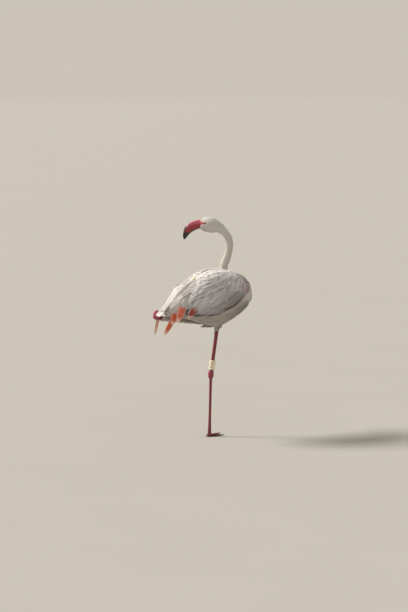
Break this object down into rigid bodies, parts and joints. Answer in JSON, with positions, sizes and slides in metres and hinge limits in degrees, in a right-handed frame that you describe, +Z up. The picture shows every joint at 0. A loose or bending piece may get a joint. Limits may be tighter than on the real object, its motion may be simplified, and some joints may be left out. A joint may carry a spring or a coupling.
{
  "type": "greater flamingo figure",
  "caption": "Life-size standing flamingo on one leg, the other folded under its body, with its long neck curved round and its head turned back over the side.",
  "frame": {"origin": "the point on the floor under the pad of the standing right foot", "axes": "+Z up, +X the way the body faces, +Y to the bird's left"},
  "size_m": [0.5675, 0.3219, 1.0088],
  "materials": {
    "body_feathers": "soft matt plumage, cream to pale grey, with a faint pink cast",
    "wing_feathers": "long satin feathers, pale lilac grey, with coral and dark red where the wing folds",
    "coral_feathers": "long satin feathers, coral red with pale rounded tips",
    "leg_skin": "scaly skin with a slight shine, dark pinkish red",
    "bill_upper": "smooth horn, pink at the root and black at the tip",
    "bill_lower": "smooth horn, mottled red, black at the tip",
    "eye": "wet shine, pale yellow iris round a black pupil",
    "claw": "dark worn horn",
    "leg_ring": "ivory plastic ring with plain dark figures"
  },
  "bodies": {
    "root": {"bill_lower": "bill_lower", "bill_upper": "bill_upper", "claw_left_1": "claw", "claw_left_2": "claw", "claw_left_3": "claw", "claw_right_1": "claw", "claw_right_2": "claw", "claw_right_3": "claw", "eye_left": "eye", "eye_right": "eye", "foot_left": "leg_skin", "foot_right": "leg_skin", "head": "body_feathers", "hock_left": "leg_skin", "hock_right": "leg_skin", "leg_ring": "leg_ring", "neck_lower": "body_feathers", "neck_middle": "body_feathers", "neck_upper": "body_feathers", "shank_left": "leg_skin", "shank_right": "leg_skin", "tail": "body_feathers", "tarsus_left": "leg_skin", "tarsus_right": "leg_skin", "tertial_left_1": "coral_feathers", "tertial_left_2": "coral_feathers", "tertial_left_3": "coral_feathers", "tertial_left_4": "coral_feathers", "tertial_right_1": "coral_feathers", "tertial_right_2": "coral_feathers", "tertial_right_3": "coral_feathers", "tertial_right_4": "coral_feathers", "thigh_right": "body_feathers", "trunk": "body_feathers", "wing_left": "wing_feathers", "wing_right": "wing_feathers"}
  },
  "joints": []
}
